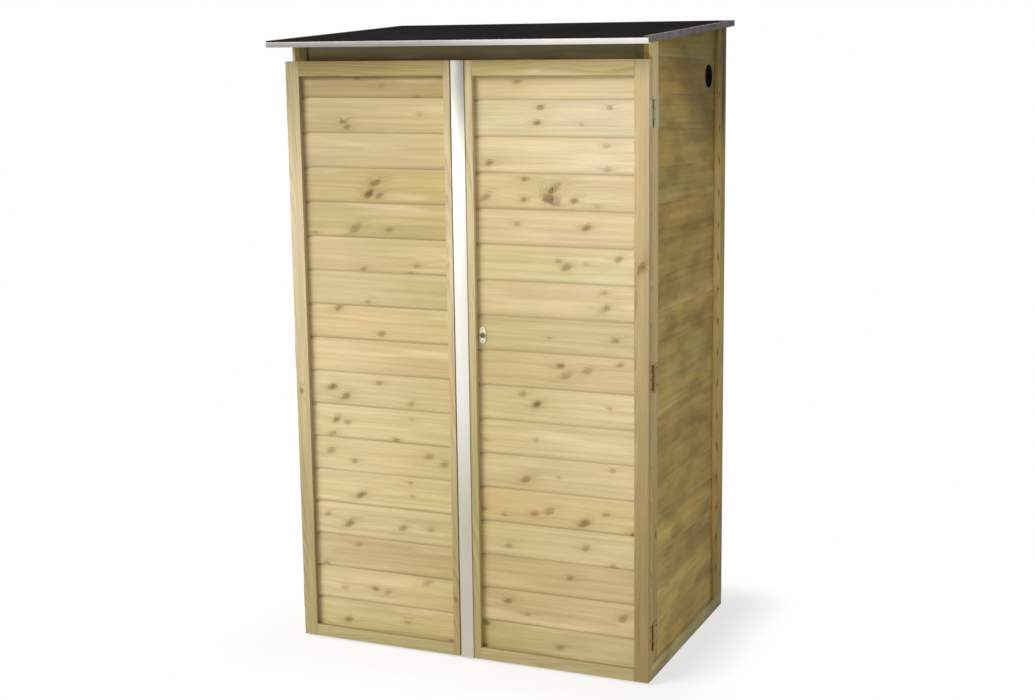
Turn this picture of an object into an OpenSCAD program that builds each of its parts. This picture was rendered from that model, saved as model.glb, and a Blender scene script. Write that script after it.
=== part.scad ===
// Garden tool shed: a narrow timber cabinet with a pent roof and two boarded doors.
// Millimetres, +Z up, doors towards -Y. Origin on the ground under the roof's middle.

/* [Body] */
// Outside width over the corner battens
body_w = 1154; // [900:2:1400]
// Outside depth from the front battens to the back boards
body_d = 697; // [560:1:900]
// Height of the sill under the wall boards
sill_h = 43; // [36:1:60]
// Thickness of the sill timbers
sill_t = 28; // [22:1:40]
// Face height of one wall board
board_pitch = 104; // [90:1:120]
// Thickness of the wall and door boards
board_t = 14; // [12:1:18]
// Width of the shadow groove between two boards
groove_w = 5; // [3:0.5:7]
// Depth of the shadow groove between two boards
groove_d = 5; // [3:0.5:7]
// Thickness of the flat battens on the side walls
batten_t = 10; // [8:1:16]
// Width of the front batten on a side wall
front_batten_w = 53; // [40:1:70]
// Width of the rear batten on a side wall
rear_batten_w = 45; // [36:1:60]
// Width of a frame timber
frame_w = 45; // [36:1:60]
// Thickness of a frame timber
frame_t = 28; // [22:1:36]
// Thickness of the back frame timbers
back_frame_t = 30; // [22:1:36]

/* [Floor] */
// Thickness of the floor boards
floor_t = 16; // [14:1:22]
// Number of floor boards
floor_boards_n = 6; // [5:1:7]
// Height of the floor bearers
bearer_h = 27; // [20:1:44]

/* [Doors] */
// How far a closed door stands out past the side battens
door_lap = 4; // [2:0.5:10]
// Height of the door bottoms over the ground
door_lift = 6; // [5:1:12]
// Height of the door tops over the ground
door_top = 1800; // [1700:1:1900]
// Gap between the closed doors and the body
door_gap = 5; // [5:1:8]
// Thickness of the planted frame strips on a door
trim_t = 14; // [10:1:18]
// Width of the outer stiles
stile_w = 45; // [38:1:60]
// Width of the left door's meeting stile
left_meeting_w = 21; // [18:1:45]
// Width of the right door's meeting stile
right_meeting_w = 66; // [60:1:80]
// Height of the top rail of a door
top_rail_h = 44; // [38:1:60]
// Height of the bottom rail of a door
bottom_rail_h = 37; // [34:1:60]
// Gap between the two doors
meeting_gap = 5; // [5:1:8]
// Distance of the gap to the left of the middle
meeting_x = 31; // [20:1:40]
// Height of the lowest joint between the right door's boards
door_joint_z = 127; // [110:1:140]
// How much higher the left door's joints stand
left_joint_rise = 5; // [0:1:10]
// Height of a ledge behind the door boards
ledge_h = 70; // [60:1:100]
// Thickness of a ledge
ledge_t = 20; // [16:1:24]
// Height of the lowest ledge over the ground
low_ledge_z = 150; // [120:5:300]
// Height of the middle ledge over the ground
mid_ledge_z = 860; // [700:5:1000]
// Height of the highest ledge over the ground
high_ledge_z = 1580; // [1400:5:1650]

/* [Fittings] */
// Width of the metal cover strip
strip_w = 42; // [36:1:50]
// Thickness of the metal cover strip
strip_t = 2.5; // [2:0.5:4]
// Height of a hinge
hinge_h = 76; // [60:2:100]
// Height of the lowest hinge's middle over the ground
low_hinge_z = 133; // [100:1:300]
// Height of the middle hinge's middle over the ground
mid_hinge_z = 905; // [700:1:1000]
// Height of the highest hinge's middle over the ground
high_hinge_z = 1651; // [1500:1:1680]
// Thickness of a hinge leaf
leaf_t = 2; // [1.5:0.5:3]
// Outer radius of a hinge knuckle
knuckle_r = 4.5; // [4:0.5:6]
// Radius of a hinge pin
pin_r = 2.5; // [2:0.1:3]
// Running clearance round a hinge pin
pin_fit = 0.05; // [0.02:0.01:0.1]
// Gap between two knuckles along the pin
knuckle_gap = 2; // [1:0.5:3]
// Length of the frame side hinge leaf
frame_leaf_l = 48; // [30:1:50]
// Radius of the lock cylinder
lock_r = 7.5; // [6:0.5:9]
// Height of the lock over the ground
lock_z = 1003; // [900:1:1100]
// Distance of the lock to the right of the middle
lock_x = 56; // [54:1:70]

/* [Roof] */
// Overhang of the roof at each side
side_overhang = 25; // [15:1:60]
// Overhang of the roof in front of the front battens
front_overhang = 98; // [60:1:150]
// Slope of the roof in degrees
roof_pitch = 5.8; // [4:0.1:10]
// Height of the roof boards' underside at the front edge
eave_z = 1840; // [1835:1:1960]
// Thickness of the roof boards
deck_t = 14; // [12:1:20]
// Thickness of the roofing felt
felt_t = 3; // [2:0.5:5]
// Overhang of the roof behind the back boards
back_overhang = 9; // [5:1:30]
// Thickness of the metal edge strips
edge_t = 1.5; // [1:0.5:3]
// Width of the edge strips' lip
edge_lip = 14; // [10:1:25]

/* [Vent] */
// Radius of the round vent
vent_r = 36; // [25:1:45]
// Height of the vent over the ground
vent_z = 1762; // [1650:1:1780]
// Distance of the vent from the back boards' outer face
vent_back = 152; // [130:1:300]

/* [Hidden] */
// Part to draw
$fn = 96;
// Small overlap for clean cuts
eps = 0.5;
half_w = body_w / 2;
half_door = half_w + door_lap;
roof_w = body_w + 2 * side_overhang;
roof_d = front_overhang + body_d + back_overhang;
half_roof = roof_w / 2;
// Depth positions
roof_front_y = -roof_d / 2;
back_y = roof_d / 2 - back_overhang;
front_y = back_y - body_d;
back_board_y = back_y - board_t;
back_frame_y = back_board_y - back_frame_t;
rear_batten_y = back_frame_y - rear_batten_w;
door_back_y = front_y - door_gap;
door_face_y = door_back_y - board_t;
door_front_y = door_face_y - trim_t;
// Wall positions across the width
side_face_x = half_w - batten_t;
side_in_x = side_face_x - board_t;
post_in_x = side_in_x - frame_t;
sill_in_x = half_w - sill_t;
// Roof slope, length of the roof boards' underside along it, and a height that clears all timbers
slope = tan(roof_pitch);
slope_l = roof_d / cos(roof_pitch) - (deck_t + felt_t + edge_t) * slope;
wedge_h = roof_d;
// How much narrower the shadow groove is at its bottom, at each edge
groove_taper = 1;
// Least height of the board that is left over a joint or under it
least_board = 20;
// Door edges
left_free_x = -meeting_x;
right_free_x = left_free_x + meeting_gap;
left_stile_x = stile_w - half_door;
left_meeting_x = left_free_x - left_meeting_w;
right_meeting_x = right_free_x + right_meeting_w;
right_stile_x = half_door - stile_w;
// Hinge axis
axis_x = half_door + knuckle_r + leaf_t;
axis_y = front_y - door_gap / 2;
knuckle_h = (hinge_h - 2 * knuckle_gap) / 3;
hinge_zs = [low_hinge_z, mid_hinge_z, high_hinge_z];
ledge_zs = [low_ledge_z, mid_ledge_z, high_ledge_z];
// Head of a hinge pin
pin_head_h = 2;
pin_head_r = 4;
// Distance of a leaf's end from the edge of its timber
leaf_clear = 2;
frame_leaf_y = front_y + leaf_clear;
door_leaf_y = door_back_y - 2 * leaf_clear;
// Depth of the bend between a leaf and its knuckle, and how far the bend bites into the knuckle
bend_d = 3;
bend_bite = 1;
// Height of the rails under the roof, their distance from the posts' face and from the roof boards
front_rail_h = 62;
rail_setback = 5;
rail_drop = 2;
// Height of the rails along the top of the side walls
top_rail_t = 45;
// Distance of a ledge's end from the posts and from the door's free edge
ledge_inset = 14;
// Floor bearers: width and distance from middle to middle
bearer_w = 60;
bearer_step = 230;
floor_mid_y = (front_y + back_y) / 2;
bearer_ys = [for (i = [-1 : 1]) floor_mid_y + i * bearer_step - bearer_w / 2];
// Gap round the floor and between its boards
floor_edge = 3;
// Lock: plate, how far the cylinder stands out, key slot
plate_w = 20;
plate_h = 48;
plate_t = 2;
lock_stand = 6;
key_w = 2;
key_h = 9;
key_d = 5;

// Underside of the roof boards at depth y
function under_z(y) = eave_z + (y - roof_front_y) * slope;

// Outline of a boarded sheet: x is depth from the outer face, y is height
function groove(z) = [[0, z - groove_w / 2], [groove_d, z - groove_w / 2 + groove_taper],
    [groove_d, z + groove_w / 2 - groove_taper], [0, z + groove_w / 2]];
function joints(z0, low, high) = [for (z = [z0 : board_pitch : high - least_board])
    if (z > low + least_board) each groove(z)];

// Sheet of grooved boards, face towards -Y, from x0 to x1
module board_sheet(x0, x1, low, high, z0)
    translate([x1, 0, 0])
        rotate([90, 0, -90])
            linear_extrude(x1 - x0)
                polygon(concat([[0, low]], [for (p = joints(z0, low, high)) [-p[0], p[1]]],
                    [[0, high], [-board_t, high], [-board_t, low]]));

// Everything above the underside of the roof boards
module roof_space()
    translate([0, roof_front_y, eave_z])
        rotate([roof_pitch, 0, 0])
            translate([-half_roof, -wedge_h, 0])
                cube([roof_w, roof_d + 2 * wedge_h, wedge_h]);

// Shape cut to the roof slope
module under_roof()
    difference() {
        children();
        roof_space();
    }

// Box between two corners
module block(a, b)
    translate(a)
        cube(b - a);

// Same shape on both sides of the shed
module both()
    for (s = [0, 1])
        mirror([s, 0, 0])
            children();

// Shapes in the roof's own slope, front lower edge at zero
module on_slope(drop = 0)
    translate([0, roof_front_y, eave_z])
        rotate([roof_pitch, 0, 0])
            translate([0, 0, drop])
                children();

module side_sills()
    color([0.62, 0.58, 0.40])
        both()
            block([sill_in_x, front_y, 0], [half_w, back_y, sill_h]);

module front_sill()
    color([0.62, 0.56, 0.38])
        block([-sill_in_x, front_y, 0], [sill_in_x, front_y + sill_t, sill_h]);

module back_sill()
    color([0.62, 0.56, 0.38])
        block([-sill_in_x, back_y - sill_t, 0], [sill_in_x, back_y, sill_h]);

module floor_bearers()
    color([0.60, 0.54, 0.36])
        for (y = bearer_ys)
            block([-sill_in_x, y, 0], [sill_in_x, y + bearer_w, bearer_h]);

module floor_boards() {
    room = body_d - 2 * sill_t - 2 * floor_edge;
    step = (room + floor_edge) / floor_boards_n;
    color([0.74, 0.66, 0.45])
        for (i = [0 : floor_boards_n - 1])
            translate([floor_edge - sill_in_x, front_y + sill_t + floor_edge + i * step, bearer_h])
                cube([2 * (sill_in_x - floor_edge), step - floor_edge, floor_t]);
}

// Side sheet of boards with its face towards +X
module side_sheet()
    under_roof()
        rotate([0, 0, 90])
            translate([0, -side_face_x, 0])
                board_sheet(front_y, back_frame_y, sill_h, under_z(back_y), sill_h);

module left_wall()
    color([0.72, 0.64, 0.44])
        mirror([1, 0, 0])
            side_sheet();

module right_wall()
    color([0.72, 0.64, 0.44])
        difference() {
            side_sheet();
            translate([side_in_x - eps, back_y - vent_back, vent_z])
                rotate([0, 90, 0])
                    cylinder(r = vent_r, h = board_t + 2 * eps);
        }

module back_wall()
    color([0.70, 0.62, 0.42])
        under_roof()
            translate([0, back_y, 0])
                rotate([0, 0, 180])
                    board_sheet(-half_w, half_w, sill_h, under_z(back_y) + eps, sill_h);

module front_battens()
    color([0.76, 0.69, 0.48])
        under_roof()
            both()
                block([side_face_x, front_y, sill_h],
                    [half_w, front_y + front_batten_w, under_z(back_y)]);

module rear_battens()
    color([0.72, 0.64, 0.44])
        under_roof()
            both()
                block([side_face_x, rear_batten_y, sill_h],
                    [half_w, back_frame_y, under_z(back_y)]);

module front_posts()
    color([0.72, 0.64, 0.44])
        under_roof()
            both()
                block([post_in_x, front_y, sill_h],
                    [side_in_x, front_y + frame_w, under_z(back_y)]);

module rear_posts()
    color([0.72, 0.64, 0.44])
        under_roof()
            both()
                block([post_in_x, rear_batten_y, sill_h],
                    [side_in_x, back_frame_y, under_z(back_y)]);

module back_frame_posts()
    color([0.66, 0.58, 0.40])
        under_roof()
            both()
                block([half_w - frame_w, back_frame_y, sill_h],
                    [half_w, back_board_y, under_z(back_y)]);

module front_rail()
    color([0.68, 0.60, 0.42])
        block([-post_in_x, front_y + rail_setback, under_z(front_y) - rail_drop - front_rail_h],
            [post_in_x, front_y + rail_setback + frame_t, under_z(front_y) - rail_drop]);

module back_rail()
    color([0.68, 0.60, 0.42])
        under_roof()
            block([frame_w - half_w, back_frame_y, under_z(back_frame_y) - front_rail_h],
                [half_w - frame_w, back_board_y, under_z(back_y)]);

module side_top_rails()
    color([0.68, 0.60, 0.42])
        both()
            difference() {
                block([post_in_x, front_y + frame_w, under_z(front_y) - top_rail_t],
                    [side_in_x, rear_batten_y, under_z(back_y)]);
                roof_space();
                on_slope(-top_rail_t - wedge_h)
                    cube([half_roof, roof_d, wedge_h]);
            }

module roof_bearer()
    color([0.68, 0.60, 0.42])
        on_slope(-top_rail_t)
            translate([-post_in_x, roof_d / 2, 0])
                cube([2 * post_in_x, frame_t, top_rail_t]);

module roof_boards()
    color([0.66, 0.56, 0.38])
        on_slope()
            translate([edge_t - half_roof, edge_t, 0])
                cube([roof_w - 2 * edge_t, slope_l - 2 * edge_t, deck_t]);

module roof_felt()
    color([0.14, 0.14, 0.15])
        on_slope(deck_t)
            translate([edge_t - half_roof, 0, 0])
                cube([roof_w - 2 * edge_t, slope_l - edge_t, felt_t]);

// Angle strip: an upright face with a lip over the felt
module angle_strip(l) {
    cube([l, edge_t, deck_t + felt_t]);
    translate([0, 0, deck_t + felt_t])
        cube([l, edge_lip, edge_t]);
}

// The front strip's lip lies under the roof boards, so the felt runs out over its face
module front_roof_strip()
    color([0.92, 0.92, 0.90])
        on_slope(-edge_t)
            translate([-half_roof, 0, 0]) {
                cube([roof_w, edge_t, deck_t + edge_t]);
                cube([roof_w, edge_lip, edge_t]);
            }

module side_roof_strips()
    color([0.55, 0.54, 0.52])
        both()
            on_slope()
                translate([half_roof, edge_t, 0])
                    rotate([0, 0, 90])
                        angle_strip(slope_l - edge_t - edge_lip);

module back_roof_strip()
    color([0.20, 0.20, 0.21])
        on_slope()
            translate([half_roof, slope_l, 0])
                rotate([0, 0, 180])
                    angle_strip(roof_w);

// Outline of the bend between the frame leaf and its knuckles
function bend() = [[half_w + leaf_t / 2, frame_leaf_y], [half_w + leaf_t / 2, frame_leaf_y + bend_d],
    [half_w + leaf_t, frame_leaf_y + bend_d], [axis_x, axis_y + knuckle_r - bend_bite / 2],
    [axis_x - knuckle_r + bend_bite, axis_y]];

// Frame side of one hinge, on the right, its foot at zero height
module frame_leaf()
    difference() {
        union() {
            block([half_w, frame_leaf_y, 0], [half_w + leaf_t, frame_leaf_y + frame_leaf_l, hinge_h]);
            for (z = [0, hinge_h - knuckle_h])
                translate([0, 0, z]) {
                    translate([axis_x, axis_y, 0])
                        cylinder(r = knuckle_r, h = knuckle_h);
                    linear_extrude(knuckle_h)
                        polygon(bend());
                }
        }
        translate([axis_x, axis_y, -eps])
            cylinder(r = pin_r + pin_fit, h = hinge_h + 2 * eps);
    }

// Door side of one hinge
module door_leaf()
    difference() {
        union() {
            block([half_door, door_front_y + leaf_clear, 0],
                [half_door + leaf_t, door_leaf_y, hinge_h]);
            translate([0, 0, knuckle_h + knuckle_gap]) {
                block([half_door, door_leaf_y - bend_bite, 0], [half_door + leaf_t, axis_y, knuckle_h]);
                block([half_door, axis_y - leaf_t / 2, 0],
                    [axis_x - pin_r - bend_bite, axis_y + leaf_t / 2, knuckle_h]);
                translate([axis_x, axis_y, 0])
                    cylinder(r = knuckle_r, h = knuckle_h);
            }
        }
        translate([axis_x, axis_y, -eps])
            cylinder(r = pin_r + pin_fit, h = hinge_h + 2 * eps);
    }

module hinge_pin()
    translate([axis_x, axis_y, 0]) {
        cylinder(r = pin_r, h = hinge_h);
        translate([0, 0, hinge_h])
            cylinder(r = pin_head_r, h = pin_head_h);
    }

// One piece at each hinge height
module at_hinges()
    for (z = hinge_zs)
        translate([0, 0, z - hinge_h / 2])
            children();

module left_frame_leaves()
    color([0.60, 0.61, 0.56])
        mirror([1, 0, 0])
            at_hinges()
                frame_leaf();

module right_frame_leaves()
    color([0.60, 0.61, 0.56])
        at_hinges()
            frame_leaf();

module left_hinge_pins()
    color([0.5, 0.5, 0.48])
        mirror([1, 0, 0])
            at_hinges()
                hinge_pin();

module right_hinge_pins()
    color([0.5, 0.5, 0.48])
        at_hinges()
            hinge_pin();

// Boards of one door from x0 to x1, the lowest joint at z0
module door_sheet(x0, x1, z0)
    translate([0, door_face_y, 0])
        board_sheet(x0, x1, door_lift, door_top, z0);

// Planted strip on a door between x0 and x1, z0 and z1
module planted(x0, x1, z0, z1)
    block([x0, door_front_y, z0], [x1, door_face_y, z1]);

// Ledges behind the boards of one door
module ledges(x0, x1)
    for (z = ledge_zs)
        block([x0, door_back_y, z], [x1, door_back_y + ledge_t, z + ledge_h]);

module left_door_boards()
    color([0.86, 0.78, 0.56])
        door_sheet(-half_door, left_free_x, door_joint_z + left_joint_rise);

module left_door_stiles()
    color([0.80, 0.74, 0.54]) {
        planted(-half_door, left_stile_x, door_lift, door_top);
        planted(left_meeting_x, left_free_x, door_lift, door_top);
    }

module left_door_rails()
    color([0.80, 0.73, 0.52]) {
        planted(left_stile_x, left_meeting_x, door_lift, door_lift + bottom_rail_h);
        planted(left_stile_x, left_meeting_x, door_top - top_rail_h, door_top);
    }

module left_door_ledges()
    color([0.80, 0.72, 0.50])
        ledges(ledge_inset - post_in_x, left_free_x - ledge_inset);

module left_door_leaves()
    color([0.60, 0.61, 0.56])
        mirror([1, 0, 0])
            at_hinges()
                door_leaf();

module right_door_boards()
    color([0.86, 0.78, 0.56])
        door_sheet(right_free_x, half_door, door_joint_z);

module right_door_stiles()
    color([0.80, 0.74, 0.54]) {
        planted(right_free_x, right_meeting_x, door_lift, door_top);
        planted(right_stile_x, half_door, door_lift, door_top);
    }

module right_door_rails()
    color([0.80, 0.73, 0.52]) {
        planted(right_meeting_x, right_stile_x, door_lift, door_lift + bottom_rail_h);
        planted(right_meeting_x, right_stile_x, door_top - top_rail_h, door_top);
    }

module right_door_ledges()
    color([0.80, 0.72, 0.50])
        ledges(right_free_x + ledge_inset, post_in_x - ledge_inset);

module right_door_leaves()
    color([0.60, 0.61, 0.56])
        at_hinges()
            door_leaf();

module cover_strip()
    color([0.93, 0.93, 0.92])
        block([right_free_x, door_front_y - strip_t, door_lift],
            [right_free_x + strip_w, door_front_y, door_top]);

module lock_plate()
    color([0.80, 0.80, 0.78])
        translate([lock_x, door_face_y, lock_z])
            rotate([90, 0, 0])
                difference() {
                    union() {
                        translate([0, (plate_h - plate_w) / 2, 0])
                            cylinder(r = plate_w / 2, h = plate_t);
                        translate([0, (plate_w - plate_h) / 2, 0])
                            cylinder(r = plate_w / 2, h = plate_t);
                        translate([-plate_w / 2, (plate_w - plate_h) / 2, 0])
                            cube([plate_w, plate_h - plate_w, plate_t]);
                    }
                    translate([0, 0, -eps])
                        cylinder(r = lock_r, h = plate_t + 2 * eps);
                }

module lock_cylinder()
    color([0.72, 0.72, 0.70])
        translate([lock_x, door_face_y, lock_z])
            rotate([90, 0, 0])
                difference() {
                    cylinder(r = lock_r, h = lock_stand);
                    translate([-key_w / 2, -key_h / 2, lock_stand - key_d])
                        cube([key_w, key_h, key_d + eps]);
                }

side_sills();
front_sill();
back_sill();
floor_bearers();
floor_boards();
left_wall();
right_wall();
back_wall();
front_battens();
rear_battens();
front_posts();
rear_posts();
back_frame_posts();
front_rail();
back_rail();
side_top_rails();
roof_bearer();
roof_boards();
roof_felt();
front_roof_strip();
side_roof_strips();
back_roof_strip();
left_frame_leaves();
right_frame_leaves();
left_hinge_pins();
right_hinge_pins();
left_door_boards();
left_door_stiles();
left_door_rails();
left_door_ledges();
left_door_leaves();
right_door_boards();
right_door_stiles();
right_door_rails();
right_door_ledges();
right_door_leaves();
cover_strip();
lock_plate();
lock_cylinder();
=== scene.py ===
# %% [markdown]
# # A narrow garden tool shed in planed pine
# The shed is a tall timber cabinet: two boarded doors, boarded walls, a pent roof under black felt and
# a few strips of bright metal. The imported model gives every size. This lesson dresses it: it mills each
# board with its own grain and knots, lays the felt, folds the metal and drives the screws.

# %% Load the measured model
import bpy
import bmesh
import math
import random
from functools import partialmethod
from mathutils import Matrix, Vector


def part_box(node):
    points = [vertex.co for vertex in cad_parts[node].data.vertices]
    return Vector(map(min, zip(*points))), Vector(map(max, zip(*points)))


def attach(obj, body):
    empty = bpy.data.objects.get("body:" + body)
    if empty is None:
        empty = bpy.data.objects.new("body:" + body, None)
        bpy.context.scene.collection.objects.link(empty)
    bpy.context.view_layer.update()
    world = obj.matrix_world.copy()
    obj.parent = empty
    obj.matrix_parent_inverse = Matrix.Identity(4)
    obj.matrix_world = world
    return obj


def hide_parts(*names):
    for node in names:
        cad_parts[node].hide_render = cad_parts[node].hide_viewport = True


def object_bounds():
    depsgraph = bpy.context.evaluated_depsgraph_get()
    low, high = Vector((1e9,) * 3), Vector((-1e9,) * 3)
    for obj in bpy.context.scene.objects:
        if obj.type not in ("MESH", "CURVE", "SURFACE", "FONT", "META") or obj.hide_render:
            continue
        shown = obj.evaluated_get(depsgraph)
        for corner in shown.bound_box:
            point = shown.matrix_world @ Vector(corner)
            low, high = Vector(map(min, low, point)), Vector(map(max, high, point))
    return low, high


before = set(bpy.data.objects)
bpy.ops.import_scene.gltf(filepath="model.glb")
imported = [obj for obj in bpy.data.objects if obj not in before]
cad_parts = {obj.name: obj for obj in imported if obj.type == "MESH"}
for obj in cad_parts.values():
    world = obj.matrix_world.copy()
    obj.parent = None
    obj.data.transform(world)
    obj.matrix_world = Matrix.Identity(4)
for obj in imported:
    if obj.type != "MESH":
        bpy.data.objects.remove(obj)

CAD_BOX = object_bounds()
scene = bpy.context.scene
scene.view_settings.view_transform = "Standard"

# %% [markdown]
# ## The camera
# The view stands a little to the right of the shed at eye height and looks slightly down. A small sideways
# shift of the lens keeps the upright edges upright in the frame, as a view camera does. The camera could
# also be aimed with a constraint, but plain numbers are easy to read and never move.

# %% Place the camera
EYE = (1.942, -4.073, 1.696)
LOOK_DOWN = 8.618
LOOK_LEFT = 19.704
ROLL = 0.13
SENSOR_MM = 36.0
LENS_MM = 49.93
LENS_SHIFT = (-0.1345, -0.0339)


def place_camera():
    lens = bpy.data.cameras.new("eye_height_camera")
    lens.sensor_width = SENSOR_MM
    lens.lens = LENS_MM
    lens.shift_x, lens.shift_y = LENS_SHIFT
    camera = bpy.data.objects.new("eye_height_camera", lens)
    camera.location = EYE
    camera.rotation_euler = (math.radians(90 - LOOK_DOWN), 0, math.radians(LOOK_LEFT))
    camera.rotation_euler.rotate_axis("Z", math.radians(ROLL))
    scene.collection.objects.link(camera)
    scene.camera = camera


place_camera()
print("camera at", EYE)

# %% [markdown]
# ## A recipe for shader nodes
# Every finish here is made of shader nodes. Wiring them by hand takes many lines, so a "Recipe" adds a
# node, sets its options and plugs in its inputs. Each of its words is one step, and a finish can be read
# from top to bottom. Colours are three numbers: red, green and blue.

# %% Recipe


class Recipe:
    """The nodes of one material or of the world."""

    def __init__(self, owner, shader="Principled BSDF"):
        owner.use_nodes = True
        self.owner = owner
        self.nodes, self.links = owner.node_tree.nodes, owner.node_tree.links
        self.shader = self.nodes[shader]

    def feed(self, inputs, feeds):
        """Sets inputs to plain values, or plugs them into other nodes."""
        for key, value in feeds.items():
            if isinstance(value, bpy.types.NodeSocket):
                self.links.new(value, inputs[key])
            elif inputs[key].type == "RGBA":
                inputs[key].default_value = (*value, 1.0)
            else:
                inputs[key].default_value = value

    def finish(self, feeds):
        """Feeds the main shader."""
        self.feed(self.shader.inputs, feeds)
        return self.owner

    def node(self, kind, feeds=None, out=0, **options):
        """Adds one node and returns one of its outputs."""
        made = self.nodes.new("ShaderNode" + kind)
        for name, value in options.items():
            setattr(made, name, value)
        self.feed(made.inputs, feeds or {})
        return made.outputs[out]

    def calc(self, operation, first, *others):
        """Arithmetic on one value, or on several from left to right."""
        if not others:
            return self.node("Math", {0: first}, operation=operation)
        for other in others:
            first = self.node("Math", {0: first, 1: other}, operation=operation)
        return first

    def vector(self, operation, first, other=(0, 0, 0), out=0):
        """Arithmetic on vectors."""
        return self.node("VectorMath", {0: first, 1: other}, out, operation=operation)

    def part(self, vector, axis):
        """One of a vector's three numbers."""
        return self.node("SeparateXYZ", {0: vector}, axis)

    def place(self, axis):
        """Where the surface is along an axis."""
        return self.part(self.node("NewGeometry"), axis)

    def facing(self, axis):
        """How squarely the surface faces along an axis."""
        return self.part(self.node("NewGeometry", out=1), axis)

    def colour_of(self, attribute):
        return self.node("Attribute", attribute_name=attribute)

    def vector_of(self, attribute):
        return self.node("Attribute", out=1, attribute_name=attribute)

    def value_of(self, attribute):
        return self.node("Attribute", out=2, attribute_name=attribute)

    def eased(self, value, low, high, start=0.0, end=1.0):
        """A smooth step from start to end while value goes from low to high."""
        return self.node("MapRange", {0: value, 1: low, 2: high, 3: start, 4: end},
                         interpolation_type="SMOOTHSTEP")

    def cloudy(self, spot, stretch, detail=2.0):
        """Soft noise from 0 to 1, drawn out by a different scale along each axis."""
        drawn = self.vector("MULTIPLY", spot, stretch)
        return self.node("TexNoise", {"Vector": drawn, "Scale": 1.0, "Detail": detail})

    def uneven(self, spot, stretch, amount, detail=2.0):
        """Soft noise round zero."""
        return self.times(self.minus(self.cloudy(spot, stretch, detail), 0.5), amount)

    def mix(self, share, first, second, blend="MIX"):
        """Two colours mixed by share."""
        return self.node("Mix", {0: share, 6: first, 7: second}, 2, data_type="RGBA", blend_type=blend)

    def tinted(self, colour, tint, share=1.0):
        """A colour multiplied by a tint."""
        return self.mix(share, colour, tint, "MULTIPLY")

    def dimmed(self, colour, factor, green=1.0, blue=1.0):
        """A colour multiplied by a factor. Powers over 1 for its green and blue make the shade warm."""
        parts = [factor if p == 1.0 else self.power(factor, p) for p in (1.0, green, blue)]
        return self.tinted(colour, self.node("CombineXYZ", dict(enumerate(parts))))

    def bump(self, height, strength, distance):
        return self.node("Bump", {"Height": height, "Strength": strength, "Distance": distance})

    def seen(self):
        """1 where the camera looks, straight, in a mirror or through glass, and 0 for light that bounces."""
        return self.most(*(self.node("LightPath", out=i) for i in (0, 3, 6)))


for word, operation in {"plus": "ADD", "minus": "SUBTRACT", "times": "MULTIPLY", "over": "DIVIDE",
                        "power": "POWER", "most": "MAXIMUM", "root": "SQRT", "size": "ABSOLUTE",
                        "fraction": "FRACT", "exponential": "EXPONENT"}.items():
    setattr(Recipe, word, partialmethod(Recipe.calc, operation))


def new_recipe(name):
    return Recipe(bpy.data.materials.new(name))


print("words of a recipe:", len([word for word in dir(Recipe) if word[0] != "_"]))

# %% [markdown]
# ## Pine
# A pine board is a flat slice through a trunk of nested rings. The finish does just that: each board knows
# where it lies in its trunk (the "grain" attribute), the distance to the pith gives the ring, and a slow
# taper along the trunk draws the long arches on the face. Knots push the rings aside, as branches do. An
# image could give one board; this gives every board its own, and the end grain matches the face.

# %% Clean pine
RING_GAP = 0.0034
# Soil in the joints, and also the colour of the painted shade on faces that look up
SOIL_AND_SHADE = (0.25, 0.175, 0.08)
GREENISH = (0.93, 0.985, 0.92)
CREAM = (0.80, 0.70, 0.48)
KNOT_HALO = (0.74, 0.62, 0.44)
KNOT_HEART = (0.120, 0.072, 0.020)
KNOT_RIM = (0.10, 0.062, 0.026)
# A knot leans one way or the other: a large number turns its radius into a lean that looks random
LEAN = 7919.0


def knot_effect(r, grain, name):
    """How far a knot pushes the rings, its halo, its heart and its dark rim."""
    knot = r.vector_of(name)
    here = r.vector("SUBTRACT", grain, knot)
    along = r.part(here, 0)
    radius = r.plus(r.part(knot, 2), 0.00001)
    lean = r.minus(r.fraction(r.times(radius, LEAN)), 0.5)
    across = r.plus(r.part(here, 1), r.times(along, lean))

    def distance(stretch):
        lengthwise = r.power(r.size(r.times(along, stretch)), 2.0)
        return r.over(r.root(r.plus(r.times(across, across), lengthwise)), radius)

    def bell(value, sharpness):
        return r.exponential(r.times(value, value, -sharpness))

    swell = bell(distance(0.42), 0.35)
    near = r.most(r.plus(distance(0.66), r.uneven(grain, (45, 75, 75), 1.5, 3.0)), 0.0)
    rim = r.times(r.eased(near, 1.1, 0.85), r.eased(near, 0.4, 0.8),
                  r.eased(r.over(across, radius), 0.8, -0.6))
    return r.times(swell, radius, 1.3), swell, bell(near, 1.7), rim


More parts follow.
